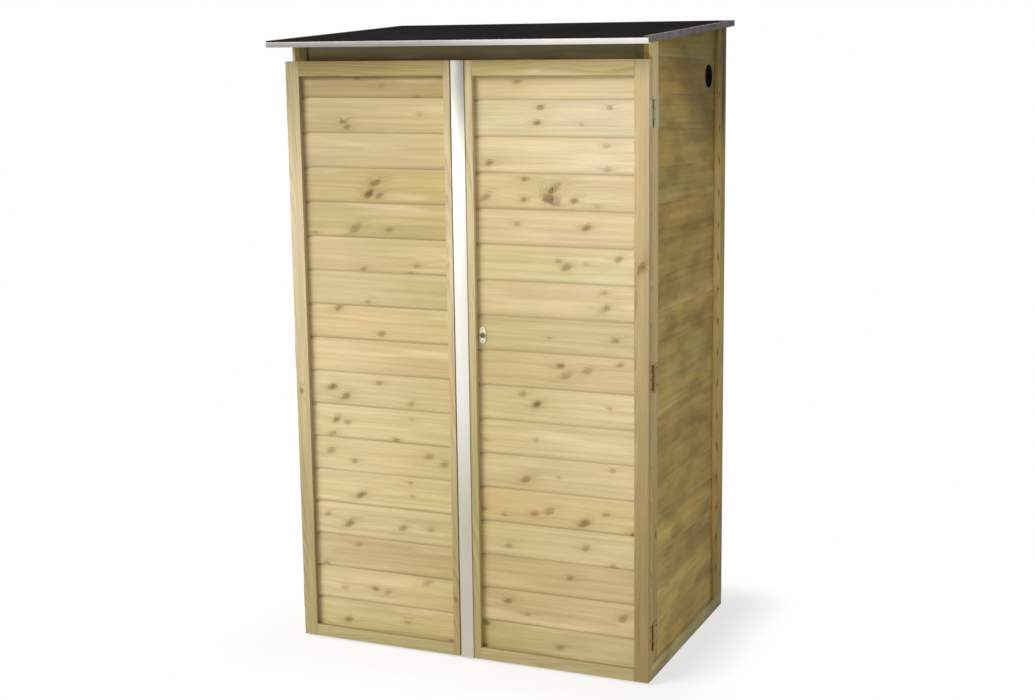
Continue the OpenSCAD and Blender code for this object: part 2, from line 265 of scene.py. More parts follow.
def clean_pine(r, early, late, cream_share, streaks, knot_strength, seam_soil):
    """Rings, fibres, streaks, knots and soiled joints: the colour, the latewood and the fibre."""
    grain = r.vector_of("grain")
    across, deep = r.part(grain, 1), r.part(grain, 2)
    pushes, halos, hearts, rims = zip(*(knot_effect(r, grain, k) for k in ("knot_a", "knot_b", "knot_c")))
    pith = r.root(r.plus(r.times(across, across), r.times(deep, deep)))
    ring = r.plus(pith, r.uneven(grain, (1.6, 9, 9), 0.030), r.plus(*pushes))
    turn = r.fraction(r.over(ring, RING_GAP))
    latewood = r.times(r.eased(turn, 0.25, 0.85), r.eased(turn, 1.0, 0.9))
    years = r.node("TexNoise", {"W": r.times(ring, 90.0), "Scale": 1.0, "Detail": 2.0},
                   noise_dimensions="1D")
    wood = r.mix(r.times(latewood, r.eased(years, 0.3, 0.75, 0.18, 0.85)), early, late)
    wood = r.tinted(wood, r.colour_of("tone"))

    fibre = r.cloudy(grain, (14, 900, 900), 3.0)
    streak = r.eased(r.cloudy(grain, (2.2, 55, 55), 3.0), 0.25, 0.75, 0.97 - 0.09 * streaks,
                     0.97 + 0.09 * streaks)
    wood = r.dimmed(wood, r.plus(streak, r.times(r.minus(fibre, 0.5), 0.20)))
    wood = r.tinted(wood, GREENISH, r.eased(r.cloudy(grain, (3.5, 9, 9)), 0.42, 0.68))
    pale = r.cloudy(grain, (3.0, 26, 26), 3.0)
    wood = r.mix(r.eased(pale, 0.52, 0.78, 0.0, cream_share), wood, CREAM)

    dark = r.times(r.value_of("knot_dark"), knot_strength)
    wood = r.tinted(wood, KNOT_HALO, r.times(r.most(*halos), r.times(dark, 0.65)))
    wood = r.mix(r.times(r.most(*hearts), dark), wood, KNOT_HEART)
    wood = r.mix(r.times(r.most(*rims), r.times(dark, 0.5)), wood, KNOT_RIM)
    wood = r.mix(r.times(r.value_of("seam"), seam_soil), wood, SOIL_AND_SHADE)
    return wood, latewood, fibre


print("year rings %.1f mm apart" % (RING_GAP * 1000))

# %% [markdown]
# ## Marks and painted shade
# The pine grows darker or lighter towards the ground, and under the eaves it darkens as painted shade of the
# eave. Pale and dark bands cross some boards, a side that lies in shade is painted lighter as painted light,
# and ledges that face up are darkened as painted shade. Each of these is a soft step along a height, a depth
# or a facing, so a finish only names how strong it is.

# %% Marks and painted shade on pine
EAVE = 1.82
# How much the green and the blue of the wood lose with its light: towards the foot, in the painted shade
# under the eave and towards the browner middle of the doors
FOOT_DARKENING, EAVE_SHADE, BROWNED = (1.07, 1.60), (1.0, 1.35), (1.15, 2.4)


def banded(r, wood, bands):
    """Pale or dark bands with ragged edges, as (height, half width, strength)."""
    height = r.plus(r.place(2), r.uneven(r.vector_of("grain"), (5, 12, 12), 0.035))
    for middle, half, strength in bands:
        off = r.size(r.minus(height, middle))
        wood = r.dimmed(wood, r.eased(off, half, 0.0, 1.0, 1.0 + strength))
    return wood


def other_side(r, wood, colour, side):
    """Another colour, tinted, on the side (axis, sign, tint)."""
    axis, sign, tint = side
    return r.mix(r.eased(r.facing(axis), 0.5 * sign, 0.9 * sign), wood, r.tinted(colour, tint))


def weathered_and_shaded(r, clean, foot=1.0, foot_height=1.0, crown=1.0, crown_height=1.4, crown_ends=None,
              crown_tilt=0.0, bands=(), faded_side=None, tan_middle=False, mottle=0.0, ledge_dirt=0.0,
              clean_side=None):
    """foot and crown are how light the wood stays at the ground and under the eaves; under the eaves it is
    painted shade. crown_ends is where that painted shade starts to fade and where it is gone, from left to
    right, and crown_tilt lets it reach lower at the back. bands lists pale and dark bands. faded_side is a
    side painted lighter, as painted light where it lies in shade, and clean_side one that has never met rain
    or sun.
    ledge_dirt darkens faces that look up, as painted shade. tan_middle turns the doors a little browner
    towards the line where they meet."""
    wood, height = clean, r.place(2)
    if foot != 1.0:
        wood = r.dimmed(wood, r.eased(height, 0.0, foot_height, foot, 1.0), *FOOT_DARKENING)
    if crown < 1.0:
        # crown: painted shade under the eave, full at EAVE
        reach = r.plus(height, r.times(r.place(1), crown_tilt))
        painted_shade = r.eased(reach, crown_height, EAVE, 0.0, 1.0 - crown)
        if crown_ends:
            painted_shade = r.times(painted_shade, r.eased(r.place(0), *crown_ends, 1.0, 0.0))
        wood = r.dimmed(wood, r.minus(1.0, painted_shade), *EAVE_SHADE)
    if bands:
        wood = banded(r, wood, bands)
    if faded_side:
        wood = other_side(r, wood, wood, faded_side)
    if tan_middle:
        wood = r.dimmed(wood, r.eased(r.size(r.place(0)), 0.06, 0.46, 0.925, 1.03), *BROWNED)
    if mottle:
        blotch = r.cloudy(r.vector_of("grain"), (7, 16, 16), 4.0)
        blotch = r.eased(blotch, 0.35, 0.70, 1.0 + 0.4 * mottle, 1.0 - mottle)
        wood = r.dimmed(wood, r.times(blotch, r.eased(r.place(1), -0.25, 0.35, 1.0, 0.86)))
    if ledge_dirt:
        # painted shade: faces that look up are darkened so that the rails' tops catch less of the lamp
        wood = r.mix(r.eased(r.facing(2), 0.6, 0.95, 0.0, ledge_dirt), wood, SOIL_AND_SHADE)
    if clean_side:
        wood = other_side(r, wood, clean, clean_side)
    return wood


# EAVE is the height where the painted shade under the eave is full
print("the eave's grime is full at %.2f m" % EAVE)

# %% The pine finishes


def pine(name, early, late, polish=0.6, gloss=0.35, cream_share=0.38, streaks=1.0, knot_strength=1.0,
         seam_soil=0.30, **marks_and_shade):
    """Planed pine with its colours of early and late wood."""
    r = new_recipe(name)
    wood, latewood, fibre = clean_pine(r, early, late, cream_share, streaks, knot_strength, seam_soil)
    relief = r.plus(r.times(latewood, 0.35), r.times(fibre, 0.65))
    return r.finish({"Base Color": weathered_and_shaded(r, wood, **marks_and_shade), "Specular IOR Level": gloss,
                     "Roughness": r.eased(fibre, 0.2, 0.8, polish - 0.06, polish + 0.08),
                     "Normal": r.bump(relief, 0.35, 0.0004)})


# In the finishes below, crown darkens the wood under the eave as painted shade
door_pine = pine(
    "door_board_pine", (0.65, 0.515, 0.288), (0.47, 0.34, 0.158), foot=0.90, foot_height=1.3, crown=0.78,
    crown_height=0.8, crown_ends=(-0.5, 0.0), tan_middle=True)
frame_pine = pine(
    "door_frame_pine", (0.64, 0.52, 0.31), (0.46, 0.34, 0.17), foot=0.60, foot_height=1.4, crown=0.54,
    crown_height=1.34, crown_ends=(-0.6, 0.5), ledge_dirt=0.7)
# faded_side paints the stile's right-facing edge lighter: painted light on an edge that lies in shade
right_stile_pine = pine(
    "right_stile_pine", (0.64, 0.52, 0.305), (0.46, 0.34, 0.17), foot=0.53, foot_height=1.85, crown=0.52,
    crown_height=1.3, crown_ends=(-0.5, 0.5), ledge_dirt=0.7, faded_side=(0, 1, (1.35, 1.35, 1.35)))
# Pale and dark bands across the right wall: (height, half width, strength)
WALL_BANDS = [
    (0.070, 0.110, 0.20), (0.215, 0.065, 0.28), (0.412, 0.055, 0.40), (0.550, 0.035, 0.08),
    (0.695, 0.055, -0.13), (0.787, 0.016, 0.16), (0.840, 0.028, 0.15), (1.076, 0.055, 0.26),
    (1.160, 0.030, -0.09), (1.306, 0.030, -0.13), (1.345, 0.018, 0.13), (1.410, 0.018, 0.16),
    (1.515, 0.040, 0.08), (1.705, 0.040, 0.10)]
WALL_MARKS = dict(foot=1.20, foot_height=0.35, crown_height=1.60, seam_soil=0.06, gloss=0.10, cream_share=0.16)
wall_pine = pine(
    "wall_board_pine", (0.575, 0.418, 0.13), (0.40, 0.28, 0.082), crown=0.50, crown_tilt=0.60, mottle=0.24,
    bands=WALL_BANDS, streaks=0.85, knot_strength=0.45, clean_side=(0, -1, (1.03, 1.09, 1.73)), **WALL_MARKS)
back_post_pine = pine(
    "back_post_pine", (0.575, 0.418, 0.13), (0.37, 0.255, 0.074), crown=0.30, crown_tilt=0.35, mottle=0.22,
    bands=[(0.83, 0.75, 0.45)], **WALL_MARKS)
dry_wall_pine = pine(
    "dry_wall_pine", (0.59, 0.455, 0.225), (0.42, 0.30, 0.125), foot=0.80, foot_height=0.6, crown=0.50,
    crown_height=1.45, mottle=0.08, gloss=0.2, cream_share=0.28, streaks=0.9, knot_strength=0.8)
# faded_side paints the batten's front-facing edge lighter: painted light on an edge in the wall's shade
rear_batten_pine = pine(
    "rear_batten_pine", (0.87, 0.61, 0.23), (0.61, 0.41, 0.14), foot=0.66, foot_height=1.1, crown=0.37,
    crown_height=1.32, seam_soil=0.0, mottle=0.15, gloss=0.10, faded_side=(1, -1, (1.25, 1.32, 1.50)),
    cream_share=0.23)
batten_pine = pine("batten_pine", (0.85, 0.665, 0.345), (0.60, 0.43, 0.19), foot=0.50, foot_height=1.8,
                   gloss=0.15)
INNER_COLOURS = ((0.60, 0.47, 0.25), (0.42, 0.30, 0.135))
inner_pine = pine("inner_timber_pine", *INNER_COLOURS)
# The tops of the front posts are darkened as painted shade under the eave
eave_shaded_pine = pine("eave_shaded_post_pine", *INNER_COLOURS, crown=0.30, crown_height=1.76)
plain_pine = pine("plain_board_pine", (0.58, 0.45, 0.24), (0.40, 0.28, 0.12), polish=0.7)
print("pine finishes:", [m.name for m in bpy.data.materials if m.name.endswith("pine")])

# %% [markdown]
# ## What a stack of boards has to remember
# All boards of one wall go into one mesh. Each point keeps its place in the trunk ("grain") and how deep it
# lies in a joint ("seam"). Each face keeps the three nearest knots and the stain of its board. A "Stack"
# collects that while the boards are milled, and hands it to the mesh at the end.

# %% Meshes and pieces


def mesh_from(bm, name):
    """Hands a bmesh over to a mesh."""
    mesh = bpy.data.meshes.new(name)
    bm.to_mesh(mesh)
    bm.free()
    return mesh


def finish_piece(name, shape, finish, body, slot, *nodes, sharp_over=None):
    """Gives a shape its finish and its body, and hides the CAD nodes that it stands for. With sharp_over
    it is shaded smooth, except at edges that turn more than so many degrees. slot is not used."""
    mesh = mesh_from(shape, name) if isinstance(shape, bmesh.types.BMesh) else shape
    if sharp_over:
        for p in mesh.polygons:
            p.use_smooth = True
        mesh.set_sharp_from_angle(angle=math.radians(sharp_over))
    piece = bpy.data.objects.new(name, mesh)
    scene.collection.objects.link(piece)
    mesh.materials.append(finish)
    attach(piece, body)
    if nodes:
        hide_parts(*nodes)
    return piece


def body_of(name):
    """A node whose name starts with a door's name rides on that door, and all others on the shed."""
    return next((door for door in ("left_door", "right_door") if name.startswith(door)), "shed")


def box_of(points):
    """Lowest and highest corner round some points."""
    return (Vector(min(p[i] for p in points) for i in range(3)),
            Vector(max(p[i] for p in points) for i in range(3)))


def everything(bm):
    return bm.verts[:] + bm.edges[:] + bm.faces[:]


print("door boards ride on", body_of("left_door_boards"), "and wall boards on", body_of("left_wall"))

# %% Stack of milled timber
STAINS = {
    "straw": (1.00, 1.00, 1.00),
    "pale": (1.08, 1.09, 1.14),
    "cream": (1.04, 1.09, 1.20),
    "amber": (0.98, 0.93, 0.87),
    "sage": (0.95, 0.975, 0.97),
    "tan": (0.93, 0.91, 0.88),
    "rosy": (1.02, 0.98, 1.00),
    "dull": (0.85, 0.84, 0.79),
    "worn": (0.88, 0.825, 0.735),
    "ochre": (0.86, 0.83, 0.60),
    "fox": (0.86, 0.80, 0.69),
    # shaded is painted shade of the eave on the top board of the left door, not a stain
    "shaded": (0.72, 0.65, 0.53),
    # smoked is painted shade of the eave on the front rail, not a stain
    "eave_shadow": (0.40, 0.41, 0.38),
    "silver": (0.92, 1.01, 1.45),
    "moss": (0.86, 0.91, 0.85),
    "dry": (0.76, 0.78, 0.84),
    # sunned dims the rear batten that faces the lamp against the one in shade: a painted difference of light
    "lamp_side_dimmed": (0.74, 0.84, 1.12),
}
NO_KNOT = (99.0, 99.0, 0.0)
# What a stack remembers, as the kind of value and whether each point or each face has one
LAYERS = {"grain": ("FLOAT_VECTOR", "POINT"), "seam": ("FLOAT", "POINT"),
          "knot_a": ("FLOAT_VECTOR", "FACE"), "knot_b": ("FLOAT_VECTOR", "FACE"),
          "knot_c": ("FLOAT_VECTOR", "FACE"), "knot_dark": ("FLOAT", "FACE"),
          "tone": ("FLOAT_COLOR", "FACE")}
FIELDS = {"FLOAT": "value", "FLOAT_VECTOR": "vector", "FLOAT_COLOR": "color"}


class Stack:
    """Boards gathered into one mesh, with what the pine finish needs to know about each."""

    def __init__(self, seed):
        self.chance = random.Random(seed)
        self.co, self.faces = [], []
        self.layers = {key: [] for key in LAYERS}

    def add(self, bm, knots, stain, place, seam_of=lambda co: 0.0):
        """Adds one timber. Its mesh is in (along, across, deep) and place() puts it in the shed."""
        chance, layers = self.chance, self.layers
        shift = 10.0 * chance.random() + len(self.co) * 0.013
        pith = (chance.uniform(-0.03, 0.03), chance.uniform(0.035, 0.10))
        taper = chance.choice((-1, 1)) * chance.uniform(0.010, 0.030)
        side = chance.choice((-1, 1))
        tone = [c * chance.uniform(0.97, 1.03) for c in STAINS[stain]]
        first = len(self.co)
        bm.verts.index_update()
        for v in bm.verts:
            u, across, deep = v.co
            self.co.append(tuple(place(u, across, deep)))
            layers["grain"] += (u + shift, across - pith[0], side * deep + pith[1] + taper * u)
            layers["seam"].append(seam_of(v.co))
        for f in bm.faces:
            self.faces.append([first + v.index for v in f.verts])
            u = f.calc_center_median().x
            near = sorted(knots, key=lambda k: abs(k[0] - u))[:3]
            spots = [(k[0] + shift, k[1] - pith[0], k[2]) for k in near] + [NO_KNOT] * 3
            for key, spot in zip(("knot_a", "knot_b", "knot_c"), spots):
                layers[key] += spot
            layers["knot_dark"].append(near[0][3] if near else 0.0)
            layers["tone"] += (*tone, 1.0)
        bm.free()

    def build(self, name, finish, body, slot, *nodes):
        """Makes the mesh, gives it its finish and lets it ride on its body."""
        mesh = bpy.data.meshes.new(name)
        mesh.from_pydata(self.co, [], self.faces)
        for key, (kind, domain) in LAYERS.items():
            mesh.attributes.new(key, kind, domain).data.foreach_set(FIELDS[kind], self.layers[key])
        outward = bmesh.new()
        outward.from_mesh(mesh)
        bmesh.ops.recalc_face_normals(outward, faces=outward.faces)
        outward.to_mesh(mesh)
        outward.free()
        return finish_piece(name, mesh, finish, body, slot, *nodes)


print("stains:", len(STAINS), "layers:", len(LAYERS))

# %% [markdown]
# ## Milling one matched board
# The boards have a tongue on the upper edge and a groove below, and meet in a narrow shadow gap with softly
# rounded arrises. A groove could be cut into one big sheet with a boolean, but real boards are separate, so
# each profile is drawn once and pulled along its length, in sections that end half-way between two knots.

# %% Board profile
BOARD_T = 0.014
PITCH = 0.104
TONGUE = 0.0045
TONGUE_BACK = 0.009
GROOVE = TONGUE + 0.001
PLAY = 0.0002
SHORTEST_SECTION = 0.002
# Soil starts this far from a joint and is full this much nearer. Inside the joint, deeper than the face's
# rounding, it lies this far in and this far down.
SOIL_EDGE, SOIL_WIDTH, ROUNDING, SOIL_IN, SOIL_DEEP = 0.0120, 0.010, 0.004, 0.004, 0.0095
# Rounded arris as (distance from the joint, depth), from the face inwards
DOOR_ARRIS = [(0.0130, 0.0), (0.0095, 0.0002), (0.0070, 0.0005), (0.0050, 0.0010), (0.0034, 0.0016),
              (0.0020, 0.0022), (0.0008, 0.0027)]
WALL_ARRIS = [(0.0080, 0.0), (0.0050, 0.0001), (0.0030, 0.0003), (0.0016, 0.0006), (0.0006, 0.0011)]


def board_profile(low, high, joint_below, joint_above, arris):
    """Outline of one board as (height, depth): face, upper edge, back, lower edge."""
    gap_deep = arris[-1][1]
    outline = [(low + out, deep) for out, deep in reversed(arris)] if joint_below else [(low, 0.0)]
    if joint_above:
        outline += [(high - out, deep) for out, deep in arris]
        outline += [(high + TONGUE, gap_deep), (high + TONGUE, TONGUE_BACK), (high, TONGUE_BACK)]
    else:
        outline += [(high, 0.0)]
    outline += [(high, BOARD_T), (low, BOARD_T)]
    if joint_below:
        outline += [(low, TONGUE_BACK + PLAY), (low + GROOVE, TONGUE_BACK + PLAY),
                    (low + GROOVE, gap_deep - PLAY)]
    return outline


def sections(start, end, knots):
    """Places along a board where one of the three nearest knots changes."""
    at = sorted(k[0] for k in knots)
    cuts = {round((a + b) / 2, 5) for n in (1, 2, 3) for a, b in zip(at, at[n:])}
    inside = sorted(c for c in cuts if start + SHORTEST_SECTION < c < end - SHORTEST_SECTION)
    return [start] + inside + [end]


def band_of_faces(bm, ring, other):
    """Joins two closed rings of points with a band of faces."""
    for a, b, c, d in zip(ring, ring[1:] + ring[:1], other[1:] + other[:1], other):
        bm.faces.new((a, b, c, d))


def mill(outline, start, end, knots):
    """Pulls an outline of (across, deep) along its length."""
    bm = bmesh.new()
    rings = [[bm.verts.new((u, a, d)) for a, d in outline] for u in sections(start, end, knots)]
    for ring, other in zip(rings, rings[1:]):
        band_of_faces(bm, ring, other)
    bm.faces.new(rings[0])
    bm.faces.new(rings[-1][::-1])
    return bm


def joint_soil(low, high, joint_below, joint_above):
    """How deep in a joint a point of this board lies, from 0 on the face to 1 inside."""
    def seam(co):
        edge = min(co.y - low if joint_below else 1, high - co.y if joint_above else 1)
        if co.z > ROUNDING:
            return 1.0 if edge < SOIL_IN and co.z < SOIL_DEEP else 0.0
        return max(0.0, min(1.0, (SOIL_EDGE - edge) / SOIL_WIDTH)) ** 1.5
    return seam


def milled_board(low, high, start, end, joint_below, joint_above, arris, knots):
    """One milled board, and how its joints are soiled."""
    joints = (low, high, joint_below, joint_above)
    return mill(board_profile(*joints, arris), start, end, knots), joint_soil(*joints)


print("boards of %.0f mm, %.0f mm thick" % (PITCH * 1000, BOARD_T * 1000))

# %% [markdown]
# ## The boards of the two doors
# The joints of the left leaf stand 5 mm higher than those of the right one. Each board has its own stain:
# pine that was pressure treated turns out pale, green or amber from board to board. The knots are listed
# one by one, because a door is seen from close by and evenly scattered knots look printed.

# %% Door board stains and knots
LEFT_JOINTS = [0.132 + PITCH * k for k in range(16)]
RIGHT_JOINTS = [0.127 + PITCH * k for k in range(16)]
# The top board of the left door takes shaded, which is painted shade under the eave
LEFT_STAINS = ["tan", "sage", "dull", "straw", "straw", "straw", "straw", "sage", "amber", "tan",
               "moss", "tan", "worn", "fox", "tan", "dull", "shaded"]
RIGHT_STAINS = ["dull", "tan", "dull", "sage", "amber", "straw", "straw", "straw", "tan", "moss",
                "straw", "straw", "straw", "straw", "cream", "cream", "straw"]
# Knots as (across the doors, height, radius) in millimetres and how dark
LEFT_KNOTS = [
    (-397, 1622, 8, .6), (-381, 1609, 8, .6), (-345, 1750, 6, .4), (-262, 1728, 8, .25),
    (-146, 1694, 9, .35), (-138, 1645, 7, .3), (-293, 1443, 11, .75), (-312, 1412, 13, .95),
    (-280, 1406, 10, .85), (-367, 1304, 13, .55), (-252, 1304, 9, .45), (-505, 1288, 6, .4),
    (-340, 1184, 8, .5), (-158, 1200, 8, .5), (-180, 1176, 6, .35), (-430, 1062, 10, .75),
    (-330, 1084, 7, .35), (-283, 988, 9, .5), (-462, 813, 10, .85), (-415, 787, 11, .7),
    (-295, 837, 8, .5), (-187, 779, 9, .4), (-187, 732, 6, .3), (-452, 711, 11, .75), (-412, 706, 9, .5),
    (-470, 664, 10, .45), (-243, 662, 8, .5), (-475, 611, 11, .5), (-390, 585, 8, .5),
    (-133, 620, 11, .4), (-80, 601, 9, .5), (-195, 533, 6, .4), (-370, 478, 11, .7), (-190, 490, 6, .3),
    (-490, 407, 8, .45), (-415, 383, 12, .7), (-225, 388, 10, .55), (-130, 391, 8, .4),
    (-385, 318, 9, .35), (-503, 246, 7, .5), (-145, 222, 12, .35), (-330, 182, 8, .65),
    (-287, 172, 9, .4), (-440, 172, 9, .35), (-430, 68, 9, .7), (-220, 85, 8, .35), (-66, 47, 7, .5)]
RIGHT_KNOTS = [
    (175, 1740, 8, .5), (248, 1668, 8, .65), (237, 1624, 9, .7), (460, 1667, 7, .6), (373, 1620, 6, .3),
    (85, 1508, 9, .7), (448, 1562, 8, .35), (452, 1496, 8, .35), (200, 1464, 9, .35), (72, 1412, 11, .5),
    (197, 1407, 9, .7), (282, 1409, 17, 1.0), (288, 1440, 13, .6), (350, 1408, 9, .7), (420, 1391, 7, .3),
    (170, 1334, 7, .35), (387, 1330, 10, .75), (487, 1245, 9, .55), (300, 1233, 7, .45),
    (322, 1214, 11, .65), (385, 1227, 6, .3), (440, 1148, 8, .35), (443, 1102, 12, .5),
    (475, 1012, 8, .6), (268, 1008, 5, .3), (303, 928, 10, .7), (325, 903, 11, .5), (386, 918, 11, .5),
    (490, 943, 9, .5), (183, 838, 9, .5), (228, 808, 10, .95), (457, 812, 6, .4), (225, 703, 8, .3),
    (62, 690, 7, .25), (192, 580, 11, .75), (465, 632, 8, .4), (295, 594, 6, .3), (445, 497, 8, .5),
    (375, 464, 12, .75), (263, 491, 11, .5), (217, 478, 8, .55), (120, 466, 7, .35), (50, 476, 8, .5),
    (380, 390, 10, .5), (130, 369, 9, .5), (330, 292, 9, .65), (531, 447, 9, .95), (465, 340, 10, .5),
    (125, 198, 9, .6), (190, 163, 7, .3), (497, 190, 11, .65), (50, 118, 8, .85), (298, 75, 10, .55),
    (46, 50, 6, .5)]
print("knots:", len(LEFT_KNOTS), "left,", len(RIGHT_KNOTS), "right")

# %% Mill the door boards
DEEPEST_SET_BACK = 0.0004


def door_boards(name, body, joints, stains, knots, seed):
    low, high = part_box(name)
    heights = [low.z] + joints + [high.z]
    stack = Stack(seed)
    for i, (z0, z1) in enumerate(zip(heights, heights[1:])):
        mine = sorted((x / 1000, z / 1000, r / 1000, d) for x, z, r, d in knots if z0 <= z / 1000 < z1)
        face = low.y + stack.chance.uniform(0.0, DEEPEST_SET_BACK)
        milled, soil = milled_board(z0, z1, low.x, high.x, i > 0, i < len(joints), DOOR_ARRIS, mine)
        stack.add(milled, mine, stains[i], lambda u, z, d: (u, min(face + d, high.y), z), soil)
    return stack.build(name + "_milled", door_pine, body, "door_boards", name)


doors = [door_boards("left_door_boards", "left_door", LEFT_JOINTS, LEFT_STAINS, LEFT_KNOTS, 11),
         door_boards("right_door_boards", "right_door", RIGHT_JOINTS, RIGHT_STAINS, RIGHT_KNOTS, 12)]
print("door boards:", [len(d.data.polygons) for d in doors], "faces")

# %% [markdown]
# ## The boards of the walls
# The side walls carry the same boards, laid from the sill up and cut to the slope of the roof. A plane cuts
# the top boards, which is how a joiner does it too: nail them on long, then saw along the rafter line. The
# round vent is bored through one board of the right wall.

# %% Roof slope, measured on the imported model
SILL_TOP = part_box("side_sills")[1].z
WALL_JOINTS = [SILL_TOP + PITCH * k for k in range(1, 18)]
underside = min(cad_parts["roof_boards"].data.polygons, key=lambda p: p.normal.z)
ROOF_POINT = underside.center.copy()
ROOF_UP = -underside.normal
UPHILL = Vector((0, ROOF_UP.z, -ROOF_UP.y))


def roof_height(y):
    """Height of the roof boards' underside at depth y."""
    return ROOF_POINT.z - (y - ROOF_POINT.y) * ROOF_UP.y / ROOF_UP.z


print("roof underside at the front and back: %.4f %.4f" % (roof_height(-0.304), roof_height(0.393)))

# %% Tools for sawing and boring


def scattered_knots(chance, start, end, low, high, per_metre):
    """Knots at random between a board's ends and edges."""
    found = []
    for _ in range(round((end - start) * per_metre * chance.uniform(0.6, 1.4))):
        radius = chance.choice((0.005, 0.006, 0.008, 0.009, 0.012))
        found.append((chance.uniform(start, end), chance.uniform(low, high), radius,
                      chance.uniform(0.35, 0.9)))
    return sorted(found)


def cut_to_roof(board, point, up):
    """Saws off everything above a plane, in the board's own (along, across, deep) directions."""
    cut = bmesh.ops.bisect_plane(board, geom=everything(board), plane_co=point, plane_no=up,
                                 clear_outer=True)
    edges = [e for e in cut["geom_cut"] if isinstance(e, bmesh.types.BMEdge)]
    if edges:
        bmesh.ops.triangle_fill(board, edges=edges, use_beauty=True)


def bored(board, along, across, radius):
    """The same board with a round hole through it."""
    drill = bmesh.new()
    bmesh.ops.create_cone(drill, cap_ends=True, segments=64, radius1=radius, radius2=radius, depth=0.1)
    bmesh.ops.translate(drill, verts=drill.verts, vec=(along, across, 0.0))
    work = bpy.data.objects.new("work", mesh_from(board, "board_to_bore"))
    tool = bpy.data.objects.new("tool", mesh_from(drill, "drill_bit"))
    for o in (work, tool):
        scene.collection.objects.link(o)
    bore = work.modifiers.new("bore", "BOOLEAN")
    bore.operation, bore.object, bore.solver = "DIFFERENCE", tool, "EXACT"
    bpy.context.view_layer.update()
    drilled = bmesh.new()
    drilled.from_mesh(work.evaluated_get(bpy.context.evaluated_depsgraph_get()).to_mesh())
    for o in (work, tool):
        bpy.data.objects.remove(o)
    return drilled


print("the saw follows a roof of %.1f degrees" % math.degrees(math.atan2(-ROOF_UP.y, ROOF_UP.z)))

# %% Mill the wall boards
STAIN_MIX = ["straw", "tan", "amber", "rosy", "rosy", "tan"]
WALL_KNOTS_PER_METRE = 1.1
KNOT_MARGIN = 0.012
# No top board is narrower than this, and it is left this much too long for the saw
NARROWEST, SAW_WASTE = 0.015, 0.03
# The vent in the right wall: along, height, radius
VENT = (0.241, 1.762, 0.036)


def wall_boards(name, axis, sign, seed, finish, vent=None):
    """Boards of the wall that faces the axis "x" or "y", towards sign."""
    low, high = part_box(name)
    if axis == "x":
        start, end, outer = low.y, high.y, (high if sign > 0 else low).x
        top = max(roof_height(start), roof_height(end))
        edge, up = Vector((ROOF_POINT.y, ROOF_POINT.z, 0)), Vector((ROOF_UP.y, ROOF_UP.z, 0))
    else:
        start, end, outer, top = low.x, high.x, high.y, high.z
        edge, up = Vector((0, roof_height(high.y), 0)), Vector((0, ROOF_UP.z, -ROOF_UP.y))
    heights = [low.z] + [z for z in WALL_JOINTS if z < top - NARROWEST] + [top + SAW_WASTE]
    stack = Stack(seed)
    for i, (z0, z1) in enumerate(zip(heights, heights[1:])):
        knots = scattered_knots(stack.chance, start, end, z0 + KNOT_MARGIN, min(z1, top) - KNOT_MARGIN,
                                WALL_KNOTS_PER_METRE)
        milled, soil = milled_board(z0, z1, start, end, i > 0, i < len(heights) - 2, WALL_ARRIS, knots)
        if vent and z0 < vent[1] < z1:
            milled = bored(milled, *vent)
        cut_to_roof(milled, edge, up)
        stack.add(milled, knots, stack.chance.choice(STAIN_MIX),
                  lambda u, z, d: (outer - sign * d, u, z) if axis == "x" else (u, outer - d, z), soil)
    return stack.build(name + "_milled", finish, "shed", "wall_boards", name)


walls = [wall_boards("left_wall", "x", -1, 21, dry_wall_pine),
         wall_boards("right_wall", "x", 1, 22, wall_pine, VENT),
         wall_boards("back_wall", "y", 1, 23, dry_wall_pine)]
print("wall boards:", [len(w.data.polygons) for w in walls], "faces")

# %% [markdown]
# ## Sills, battens, posts, rails and stiles
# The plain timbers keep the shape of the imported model, so each is copied from its node. A planed timber has
# eased arrises about a millimetre wide: they catch a thin line of light, and without them wood looks like
# card. Its longest side is the direction of the grain, and it gets knots of its own.

# %% Copy a node's solids
WELD = 0.00001


def welded(name):
    """A node's mesh with its points welded and its flat faces whole."""
    bm = bmesh.new()
    bm.from_mesh(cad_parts[name].data)
    bmesh.ops.remove_doubles(bm, verts=bm.verts, dist=WELD)
    bmesh.ops.dissolve_limit(bm, angle_limit=math.radians(0.5), verts=bm.verts, edges=bm.edges)
    return bm


def separate_solids(name):
    """Each solid of a CAD node as its points and faces, from the lowest up."""
    whole = welded(name)
    left = set(whole.verts)
    solids = []
    while left:
        group = {left.pop()}
        to_visit = list(group)
        while to_visit:
            for e in to_visit.pop().link_edges:
                for v in e.verts:
                    if v not in group:
                        group.add(v)
                        to_visit.append(v)
        left -= group
        spots = sorted(group, key=lambda v: v.index)
        number = {v: i for i, v in enumerate(spots)}
        faces = {f for v in group for f in v.link_faces}
        solids.append(([v.co.copy() for v in spots], sorted([number[v] for v in f.verts] for f in faces)))
    whole.free()
    return sorted(solids, key=lambda s: [round(sum(c[i] for c in s[0]) / len(s[0]), 4) for i in (2, 1, 0)])


print("solids in the side sills:", len(separate_solids("side_sills")))

# %% Ease the arrises of the plain timbers
ARRIS = 0.0012
# Weights of a point's place that give each point and face of a timber its own rank
RANKING = Vector((1.0, 3.7, 13.3))
TIMBER_KNOTS_PER_METRE = 0.6
END_MARGIN = 0.02
# Shares of a timber's width
KNOTS_FROM, KNOTS_TO, WIDEST_KNOT = 0.2, 0.8, 0.3


